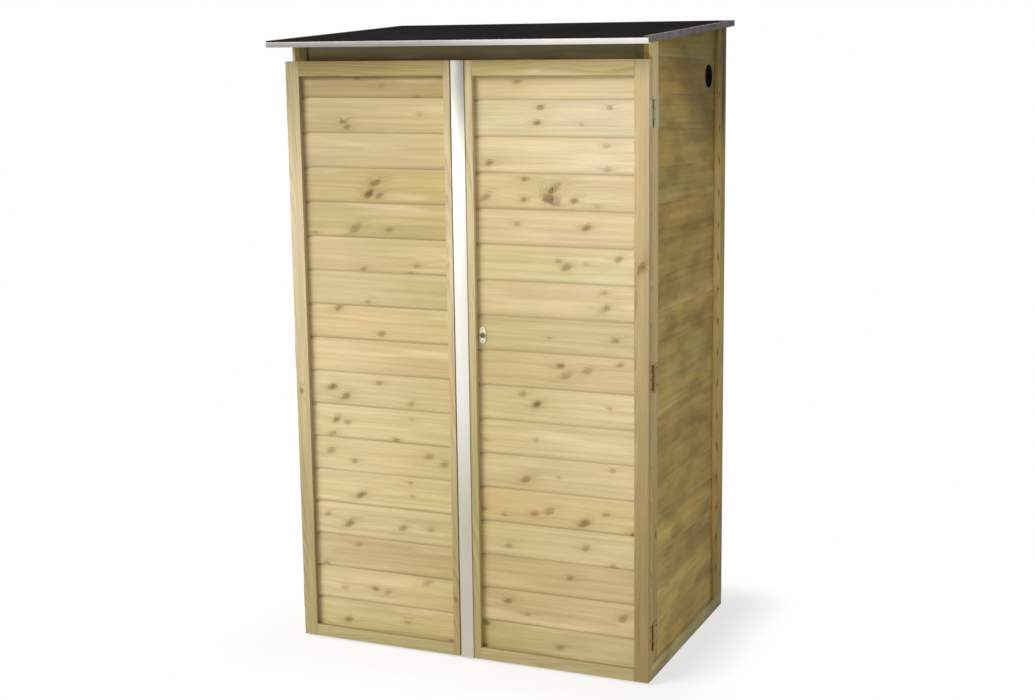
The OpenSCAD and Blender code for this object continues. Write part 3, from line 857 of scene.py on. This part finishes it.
def timbers(name, finish, slot, seed, stains, rust_at=()):
    """Dresses a node of plain timbers. rust_at are the heights of nails that have bled into the wood."""
    stack = Stack(seed)
    chance = stack.chance
    for n, (co, faces) in enumerate(separate_solids(name)):
        low, high = box_of(co)
        size = high - low
        order = sorted(range(3), key=lambda i: -size[i])
        timber = bmesh.new()
        verts = [timber.verts.new([c[i] - low[i] for i in order]) for c in co]
        for f in faces:
            timber.faces.new([verts[i] for i in f])
        bmesh.ops.bevel(timber, geom=timber.edges[:], offset=ARRIS, segments=2, profile=0.6,
                        affect="EDGES", clamp_overlap=True)
        length, width = size[order[0]], size[order[1]]
        knots = scattered_knots(chance, END_MARGIN, length - END_MARGIN, KNOTS_FROM * width,
                                KNOTS_TO * width, TIMBER_KNOTS_PER_METRE)
        knots = [(u, v, min(r, WIDEST_KNOT * width), d) for u, v, r, d in knots]
        rust = [(z - low.z, width / 2, chance.uniform(0.007, 0.011), chance.uniform(0.5, 0.95))
                for z in rust_at]
        knots = sorted(rust or knots)
        for cut in sections(0.0, length, knots)[1:-1]:
            bmesh.ops.bisect_plane(timber, geom=everything(timber), plane_co=(cut, 0, 0),
                                   plane_no=(1, 0, 0))
        # Cuts may list the faces in any order, so they are put in one that is always the same
        timber.verts.sort(key=lambda v: v.co.dot(RANKING))
        timber.faces.sort(key=lambda f: f.calc_center_median().dot(RANKING))
        spot = {axis: k for k, axis in enumerate(order)}
        stack.add(timber, knots, stains[n % len(stains)],
                  lambda *uvw: tuple(uvw[spot[i]] + low[i] for i in range(3)))
    return stack.build(name + "_planed", finish, body_of(name), slot, name)


# Node, finish, slot and the stains of its timbers
PLAIN_TIMBERS = [
    ("side_sills", wall_pine, "wall_battens", "silver"),
    ("front_sill", inner_pine, "inner_timber", "dull"),
    ("back_sill", inner_pine, "inner_timber", "dull"),
    ("floor_bearers", inner_pine, "inner_timber", "dull tan"),
    ("floor_boards", plain_pine, "plain_boards", "straw tan sage"),
    ("front_battens", batten_pine, "wall_battens", "dry pale"),
    ("front_posts", eave_shaded_pine, "inner_timber", "straw"),
    ("rear_posts", inner_pine, "inner_timber", "straw tan"),
    ("back_frame_posts", back_post_pine, "inner_timber", "silver dull"),
    ("front_rail", inner_pine, "inner_timber", "eave_shadow"),
    ("back_rail", inner_pine, "inner_timber", "straw"),
    ("side_top_rails", inner_pine, "inner_timber", "straw tan"),
    ("roof_bearer", inner_pine, "inner_timber", "straw"),
    ("roof_boards", plain_pine, "plain_boards", "tan"),
    ("left_door_stiles", frame_pine, "door_frames", "sage tan"),
    ("left_door_rails", frame_pine, "door_frames", "pale ochre"),
    ("left_door_ledges", inner_pine, "inner_timber", "straw tan"),
    ("right_door_stiles", right_stile_pine, "door_frames", "pale worn"),
    ("right_door_rails", frame_pine, "door_frames", "pale ochre"),
    ("right_door_ledges", inner_pine, "inner_timber", "straw tan"),
]
for seed, (name, finish, slot, stains) in enumerate(PLAIN_TIMBERS, 40):
    timbers(name, finish, slot, seed, stains.split())
# The two rear battens are lit and shaded copies of one wood: sunned dims the left one, which faces the lamp
timbers("rear_battens", rear_batten_pine, "wall_battens", 39, ["lamp_side_dimmed", "straw"], rust_at=WALL_JOINTS)
print("plain timbers:", len(PLAIN_TIMBERS) + 1, "nodes")

# %% [markdown]
# ## Black roofing felt
# The felt is bitumen on a fibre mat with fine mineral grit pressed in. It is one width of a roll, nailed flat
# to the roof boards, so it only waves by a millimetre or two. Grit is too small to model: noise at two sizes
# gives its speckle and its relief.

# %% Felt finish


def gritty_felt():
    r = new_recipe("gritty_roofing_felt")
    place = r.node("NewGeometry")
    grit = r.node("TexNoise", {"Vector": place, "Scale": 900.0, "Detail": 2.0, "Roughness": 0.7})
    patches = r.eased(r.cloudy(place, (5, 5, 5), 4.0), 0.35, 0.75, 0.0, 0.45)
    colour = r.mix(r.eased(grit, 0.45, 0.62), (0.011, 0.010, 0.011), (0.033, 0.030, 0.032))
    return r.finish({"Base Color": r.mix(patches, colour, (0.033, 0.029, 0.029)),
                     "Roughness": r.eased(grit, 0.3, 0.7, 1.0, 0.92), "Specular IOR Level": 0.0,
                     "Normal": r.bump(grit, 0.6, 0.0008)})


felt_finish = gritty_felt()
print("finish:", felt_finish.name)

# %% Lay the felt sheet
FELT_WAVE = 0.0006
FELT_INSET = 0.0015
FELT_LIFT = 0.0002
FELT_CELLS = (48, 32)


def lay_felt():
    """A thin sheet over the roof boards, waved a little, its edges tucked under the metal lips."""
    low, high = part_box("roof_felt")
    corners = [v.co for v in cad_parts["roof_felt"].data.vertices]
    foot = min(corners, key=lambda c: (round(c.dot(ROOF_UP), 4), c.y))
    width = high.x - low.x - 2 * FELT_INSET
    length = max((c - foot).dot(UPHILL) for c in corners) - 2 * FELT_INSET
    thick = max((c - foot).dot(ROOF_UP) for c in corners)
    chance = random.Random(7)
    ripples = [(chance.uniform(3, 9), chance.uniform(3, 9), chance.uniform(0, 6.3)) for _ in range(5)]
    nx, ny = FELT_CELLS
    sheet = bmesh.new()

    def point(i, j, level, wave):
        x, along = low.x + FELT_INSET + width * i / nx, FELT_INSET + length * j / ny
        ripple = sum(math.sin(a * x * 3 + b * along * 3 + c) for a, b, c in ripples) / len(ripples)
        calm_rim = min(1.0, min(i, nx - i, j, ny - j) / 3)
        lift = level + wave * ripple * calm_rim
        return sheet.verts.new(Vector((x, foot.y, foot.z)) + UPHILL * along + ROOF_UP * lift)

    bottom, top = ([[point(i, j, level, wave) for i in range(nx + 1)] for j in range(ny + 1)]
                   for level, wave in ((FELT_LIFT, 0.0), (thick - FELT_WAVE, FELT_WAVE)))
    for j in range(ny):
        for i in range(nx):
            for side, turn in ((top, 1), (bottom, -1)):
                square = (side[j][i], side[j][i + 1], side[j + 1][i + 1], side[j + 1][i])
                sheet.faces.new(square[::turn])
    around = ([(0, i) for i in range(nx)] + [(j, nx) for j in range(ny)]
              + [(ny, i) for i in range(nx, 0, -1)] + [(j, 0) for j in range(ny, 0, -1)])
    band_of_faces(sheet, [bottom[j][i] for j, i in around], [top[j][i] for j, i in around])
    bmesh.ops.recalc_face_normals(sheet, faces=sheet.faces)
    felt = finish_piece("roof_felt_sheet", sheet, felt_finish, "shed", "roof_felt", "roof_felt",
                        sharp_over=40)
    print("felt: %.3f m by %.3f m, %.1f mm thick" % (width, length, thick * 1000))


lay_felt()

# %% [markdown]
# ## Metal
# The cover strip and the eave strip are mill-finished aluminium, with painted reflection and painted shade
# along their length. The side and back strips are duller, and their dark grey is painted shade. The hinges
# are zinc plated and the lock is polished. All are one recipe with other numbers: a metal whose roughness is
# brushed along the strip, with faint oxide clouds.

# %% Metal finishes


def strip_metal(name, colour, dull, brush, rough=0.35, fades=(), metal=1.0):
    """Brushed metal. brush stretches the scratches; a fade is (axis, from, to, colour) along which the colour
    is tinted.
    """
    r = new_recipe(name)
    place = r.node("NewGeometry")
    scratch = r.cloudy(place, brush, 3.0)
    shade = r.mix(r.eased(r.cloudy(place, (14, 14, 5), 4.0), 0.35, 0.75), colour, dull)
    for axis, start, end, tint in fades:
        shade = r.tinted(shade, tint, r.eased(r.place(axis), start, end))
    return r.finish({"Base Color": shade, "Metallic": metal, "Specular IOR Level": 0.5 if metal else 0.1,
                     "Roughness": r.eased(scratch, 0.2, 0.8, rough - 0.07, rough + 0.10),
                     "Normal": r.bump(scratch, 0.12, 0.0002)})


# The cover strip is darker towards the foot as painted reflection of the floor, and darker at the top as
# painted shade of the eave
bright_metal = strip_metal(
    "bright_cover_metal", (0.84, 0.82, 0.75), (0.78, 0.76, 0.69), (900, 900, 6),
    fades=[(2, 0.90, 0.40, (0.68, 0.66, 0.60)), (2, 1.45, 1.77, (0.28, 0.27, 0.265))])
# The eave strip grows darker towards the left as painted reflection
eave_metal = strip_metal(
    "bright_eave_metal", (0.80, 0.78, 0.74), (0.75, 0.73, 0.69), (6, 900, 900),
    fades=[(0, 0.45, -0.20, (0.44, 0.43, 0.42))])
# The side and back roof strips are coloured dark grey as painted shade, and grow darker towards the back
shaded_strip_metal = strip_metal(
    "dull_shaded_edge_metal", (0.18, 0.162, 0.15), (0.11, 0.098, 0.09), (900, 8, 900), 0.60,
    fades=[(1, -0.35, 0.38, (0.42, 0.40, 0.40))])
zinc = strip_metal(
    "zinc_plate", (0.62, 0.57, 0.32), (0.47, 0.42, 0.23), (300, 300, 300), 0.60,
    fades=[(2, 1.4, 0.95, (0.68, 0.52, 0.34))], metal=0.2)
lock_metal = strip_metal(
    "nickel_lock_metal", (0.80, 0.74, 0.55), (0.62, 0.55, 0.38), (200, 200, 90), 0.42, metal=0.6)
# The lock cylinder is dark as its own keyway and as painted shade in its recess
lock_core = strip_metal("dark_lock_core", (0.20, 0.17, 0.10), (0.10, 0.085, 0.05), (500, 500, 500), 0.45)
dark_pin = strip_metal("worn_pin_metal", (0.34, 0.33, 0.30), (0.22, 0.20, 0.17), (300, 300, 300), 0.5)
screw_metal = strip_metal(
    "screw_metal", (0.50, 0.49, 0.42), (0.34, 0.32, 0.25), (400, 400, 400), 0.42,
    fades=[(2, 1.4, 0.95, (0.42, 0.34, 0.22))])
rusty_metal = strip_metal(
    "rusty_nail_metal", (0.26, 0.125, 0.035), (0.16, 0.075, 0.022), (500, 500, 500), 0.85, metal=0.0)
clout_metal = strip_metal("clout_nail_metal", (0.34, 0.33, 0.32), (0.22, 0.21, 0.20), (500, 500, 500), 0.5)
print("metals:", [m.name for m in bpy.data.materials if "metal" in m.name])

# %% Fold and polish the metal pieces
METAL_ARRIS = 0.0004
# Finish, body, slot and nodes
METAL = [
    (bright_metal, "right_door", "bright_strip", "cover_strip"),
    (eave_metal, "shed", "bright_strip", "front_roof_strip"),
    (shaded_strip_metal, "shed", "grey_strip", "side_roof_strips back_roof_strip"),
    (zinc, "shed", "hinge_metal", "left_frame_leaves right_frame_leaves"),
    (dark_pin, "shed", "hinge_metal", "left_hinge_pins right_hinge_pins"),
    (zinc, "left_door", "hinge_metal", "left_door_leaves"),
    (zinc, "right_door", "hinge_metal", "right_door_leaves"),
    (lock_metal, "right_door", "lock_metal", "lock_plate"),
    (lock_core, "right_door", "lock_metal", "lock_cylinder")]


def metal_piece(name, finish, body, slot):
    """A copy of a metal node with softened edges."""
    bm = welded(name)
    sharp = [e for e in bm.edges if len(e.link_faces) == 2 and e.calc_face_angle(0) > math.radians(50)]
    bmesh.ops.bevel(bm, geom=sharp, offset=METAL_ARRIS, segments=2, profile=0.6, affect="EDGES",
                    clamp_overlap=True)
    finish_piece(name + "_metal", bm, finish, body, slot, name, sharp_over=35)


for finish, body, slot, names in METAL:
    for name in names.split():
        metal_piece(name, finish, body, slot)
print("metal finishes in use:", len({row[0] for row in METAL}))

# %% [markdown]
# ## Screws, nails and the vent's lining
# Small fixings tell how the shed is put together: cross-head screws hold the hinge leaves and the lock, a
# rusty nail sits at each joint of the side and back boards, and clout nails hold the roof strips at the sides
# and back, whose grey is painted shade. Each head is one small turned shape, copied to its places. The round
# hole gets a thin dark lining.

# %% Turn a screw head and a nail head
HEAD_SIDES = 24
# A recess has arms this wide for their length, and narrows to this much of its rim and of its height
ARM, PIT, PIT_FLOOR = 0.3, 0.7, 0.2


def circle(bm, count, spot):
    """A ring of points; spot(cosine, sine) says where each one lies."""
    turns = [2 * math.pi * i / count for i in range(count)]
    return [bm.verts.new(spot(math.cos(a), math.sin(a))) for a in turns]


def turned_head(profile, cross):
    """A head turned from (radius, height) steps, with a cross recess whose arms have the length cross."""
    head = bmesh.new()
    rings = [circle(head, HEAD_SIDES, lambda x, y: (r * x, r * y, h)) for r, h in profile]
    for ring, other in zip(rings, rings[1:]):
        band_of_faces(head, ring, other)
    if not cross:
        head.faces.new(rings[-1])
        return head
    top, w = profile[-1][1], cross * ARM
    corners = [(cross, -w), (cross, w), (w, w)]
    for _ in range(3):
        corners += [(-y, x) for x, y in corners[-3:]]
    rim = [head.verts.new((x, y, top)) for x, y in corners]
    pit = [head.verts.new((x * PIT, y * PIT, top * PIT_FLOOR)) for x, y in corners]
    band_of_faces(head, rim, pit)
    head.faces.new(pit)
    edges = [head.edges.get((a, b)) for ring in (rings[-1], rim) for a, b in zip(ring, ring[1:] + ring[:1])]
    bmesh.ops.triangle_fill(head, edges=edges, use_beauty=True)
    return head


def fixings(name, finish, body, slot, kind, places):
    """Copies of one head at (spot, direction) places, each turned a little differently."""
    chance = random.Random(len(name) * 31)
    head = turned_head(*kind)
    head.verts.index_update()
    co, faces = [], []
    for spot, out in places:
        turn = Vector(out).to_track_quat("Z", "Y").to_matrix()
        turn @= Matrix.Rotation(chance.uniform(0, 1.5), 3, "Z")
        first = len(co)
        co += [Vector(spot) + turn @ v.co for v in head.verts]
        faces += [[first + v.index for v in f.verts] for f in head.faces]
    head.free()
    mesh = bpy.data.meshes.new(name)
    mesh.from_pydata(co, [], faces)
    finish_piece(name, mesh, finish, body, slot, sharp_over=50)
    print("%s: %d" % (name.replace("_", " "), len(places)))


print("heads are turned with", HEAD_SIDES, "sides")

# %% Drive the screws and nails
# Heads as (radius, height) steps and the length of the recess's arms
SCREW = ([(0.0038, 0.0), (0.0038, 0.0003), (0.0033, 0.0009), (0.0022, 0.0012)], 0.0020)
SMALL_SCREW = ([(0.0022, 0.0), (0.0021, 0.0004), (0.0014, 0.0008)], 0.0011)
NAIL = ([(0.0042, 0.0), (0.0041, 0.0004), (0.0030, 0.0008)], 0.0)
CLOUT = ([(0.0044, 0.0), (0.0043, 0.0003), (0.0034, 0.0005)], 0.0)
LEAF_T = 0.002
# Screws of one hinge leaf, as (depth from the leaf's free edge, height from its middle)
LEAF_SCREWS = {"frame": [(-0.010, 0.026), (-0.024, 0.0), (-0.010, -0.026)],
               "door": [(0.010, 0.027), (0.010, 0.0), (0.010, -0.027)]}
LOCK_SCREW_RISE = 0.0185
HALF_BATTEN = 0.0225


def solid_boxes(name):
    """Lowest and highest corner of each solid of a node."""
    return [box_of(co) for co, _ in separate_solids(name)]


def drive_hinge_screws():
    for side, sign in (("left", -1), ("right", 1)):
        for part, body in (("frame", "shed"), ("door", side + "_door")):
            boxes = solid_boxes("%s_%s_leaves" % (side, part))
            face = min(abs(b[0 if sign > 0 else 1].x) for b in boxes) + LEAF_T
            places = []
            for low, high in boxes:
                edge = high.y if part == "frame" else low.y
                places += [((sign * face, edge + deep, (low.z + high.z) / 2 + rise), (sign, 0, 0))
                           for deep, rise in LEAF_SCREWS[part]]
            fixings("%s_%s_hinge_screws" % (side, part), screw_metal, body, "hinge_metal", SCREW, places)


def drive_lock_screws():
    low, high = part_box("lock_plate")
    middle = (low + high) / 2
    places = [((middle.x, low.y, middle.z + sign * LOCK_SCREW_RISE), (0, -1, 0)) for sign in (-1, 1)]
    fixings("lock_screws", screw_metal, "right_door", "lock_metal", SMALL_SCREW, places)


def drive_nails():
    """One nail at each joint of the side walls, over the rear battens, and of the back wall's two ends."""
    low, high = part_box("rear_battens")
    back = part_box("back_wall")[1]
    fixings("side_nails", rusty_metal, "shed", "hinge_metal", NAIL,
            [((sign * high.x, (low.y + high.y) / 2, z), (sign, 0, 0))
             for sign in (-1, 1) for z in WALL_JOINTS])
    fixings("back_nails", rusty_metal, "shed", "hinge_metal", NAIL,
            [((sign * (back.x - HALF_BATTEN), back.y, z), (0, 1, 0))
             for sign in (-1, 1) for z in WALL_JOINTS[:-1]])


drive_hinge_screws()
drive_lock_screws()
drive_nails()

# %% Nail the roof strips, fold their corners and line the vent
SIDE_CLOUTS, BACK_CLOUTS = 7, 8
CLOUT_FROM_SIDE, CLOUT_FROM_BACK = 0.0075, 0.0086
# The back strip's metal: its thickness, the width of its lip and how far the tabs hang down
STRIP_T, LIP, TAB_DROP = 0.0015, 0.014, 0.017


def back_edge():
    """How high and how far up the slope the back strip reaches."""
    corners = [v.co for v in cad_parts["back_roof_strip"].data.vertices]
    return max(c.dot(ROOF_UP) for c in corners), max(c.dot(UPHILL) for c in corners)


def nail_roof_strips():
    """Clout nails along the lips of the side and back strips."""
    places = []
    top = max(v.co.dot(ROOF_UP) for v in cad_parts["side_roof_strips"].data.vertices)
    for low, high in solid_boxes("side_roof_strips"):
        x = high.x - CLOUT_FROM_SIDE if high.x > 0 else low.x + CLOUT_FROM_SIDE
        start, length = Vector((0, low.y, low.z)).dot(UPHILL), (high.y - low.y) / UPHILL.y
        places += [Vector((x, 0, 0)) + ROOF_UP * top + UPHILL * (start + length * (i + 0.5) / SIDE_CLOUTS)
                   for i in range(SIDE_CLOUTS)]
    low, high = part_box("back_roof_strip")
    top, end = back_edge()
    for i in range(BACK_CLOUTS):
        across = Vector((low.x + (high.x - low.x) * (i + 0.5) / BACK_CLOUTS, 0, 0))
        places.append(across + ROOF_UP * top + UPHILL * (end - CLOUT_FROM_BACK))
    fixings("roof_strip_nails", clout_metal, "shed", "grey_strip", CLOUT, [(p, ROOF_UP) for p in places])


def fold_corner_tabs():
    """The back strip's ends, folded round the corner to close the gap behind the side strips."""
    low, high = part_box("back_roof_strip")
    top, end = back_edge()
    middle = UPHILL * (end - (LIP + STRIP_T) / 2) + ROOF_UP * (top - STRIP_T - TAB_DROP / 2)
    turn = Matrix(((1, 0, 0), UPHILL, ROOF_UP)).transposed().to_4x4()
    size = Matrix.Diagonal((STRIP_T, LIP - STRIP_T, TAB_DROP, 1))
    tabs = bmesh.new()
    for x in (low.x + STRIP_T / 2, high.x - STRIP_T / 2):
        move = Matrix.Translation(middle + Vector((x, 0, 0)))
        bmesh.ops.create_cube(tabs, size=1.0, matrix=move @ turn @ size)
    bmesh.ops.bevel(tabs, geom=tabs.edges[:], offset=0.0003, segments=1, affect="EDGES")
    finish_piece("roof_corner_tabs", tabs, shaded_strip_metal, "shed", "grey_strip")


def line_vent():
    """A thin dark sleeve in the round hole, a hair proud of the boards."""
    along, height, radius = VENT
    thin, proud = 0.0008, 0.0002
    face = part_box("right_wall")[1].x
    sleeve = bmesh.new()
    rings = [circle(sleeve, 64, lambda c, s: (x, along + r * c, height + r * s))
             for r, x in ((radius, face - BOARD_T), (radius, face + proud),
                          (radius - thin, face + proud), (radius - thin, face - BOARD_T))]
    for ring, other in zip(rings, rings[1:] + rings[:1]):
        band_of_faces(sleeve, ring, other)
    bmesh.ops.recalc_face_normals(sleeve, faces=sleeve.faces)
    finish_piece("vent_lining", sleeve, felt_finish, "shed", "roof_felt", sharp_over=40)


nail_roof_strips()
fold_corner_tabs()
line_vent()
print("the roof's corners are folded and the vent is lined")

# %% [markdown]
# ## Floor and light
# The shed stands on a plain pale floor that fades to white. One large soft lamp hangs high in front on the
# left, so the eave throws its shade on the top of the doors and the right wall lies in shadow. The world
# fills the rest with even light.

# %% Stage
FILL = 0.385
KEY_WATTS = 2000.0
KEY_SIZE = 8.0
KEY_AT = (-7.7, -7.7, 8.6)
KEY_AIM = (0, -0.3, 1.0)
FLOOR_REACH = 30
# The floor is this white where the shed stands, and wholly white this far away from it
FLOOR_WHITE, FADE_WIDTH = 0.68, 0.24


def pale_floor():
    r = new_recipe("pale_floor")
    low, high = CAD_BOX
    outside = r.vector("SUBTRACT", r.node("NewGeometry"), tuple((low + high) / 2))
    outside = r.vector("SUBTRACT", r.vector("ABSOLUTE", outside), tuple((high - low) / 2))
    flat = r.vector("MULTIPLY", r.vector("MAXIMUM", outside), (1, 1, 0))
    away = r.vector("LENGTH", flat, out=1)
    r.finish({"Base Color": (0.80, 0.80, 0.79), "Roughness": 0.9, "Specular IOR Level": 0.1})
    white = r.node("Emission", {"Color": (1, 1, 1), "Strength": 1.0})
    share = r.times(r.seen(), r.eased(away, 0.0, FADE_WIDTH, FLOOR_WHITE, 1.0))
    both = r.node("MixShader", {0: share, 1: r.shader.outputs[0], 2: white})
    r.feed(r.nodes["Material Output"].inputs, {"Surface": both})
    mesh = bpy.data.meshes.new("studio_floor")
    corners = [(-1, -1), (1, -1), (1, 1), (-1, 1)]
    mesh.from_pydata([(x * FLOOR_REACH, y * FLOOR_REACH, 0) for x, y in corners], [], [(0, 1, 2, 3)])
    mesh.materials.append(r.owner)
    floor = bpy.data.objects.new("studio_floor", mesh)
    scene.collection.objects.link(floor)


def white_world():
    scene.world = bpy.data.worlds.new("white_room")
    r = Recipe(scene.world, "Background")
    r.finish({"Strength": r.eased(r.seen(), 0.0, 1.0, FILL, 1.0), "Color": (1, 1, 1)})


def hang_lamp():
    light = bpy.data.lights.new("key_softbox", "AREA")
    light.shape, light.size, light.energy = "DISK", KEY_SIZE, KEY_WATTS
    lamp = bpy.data.objects.new("key_softbox", light)
    lamp.location = KEY_AT
    lamp.rotation_euler = (Vector(KEY_AIM) - Vector(KEY_AT)).to_track_quat("-Z", "Y").to_euler()
    scene.collection.objects.link(lamp)


pale_floor()
white_world()
hang_lamp()
print("lamp at", KEY_AT, "with", KEY_WATTS, "watts")
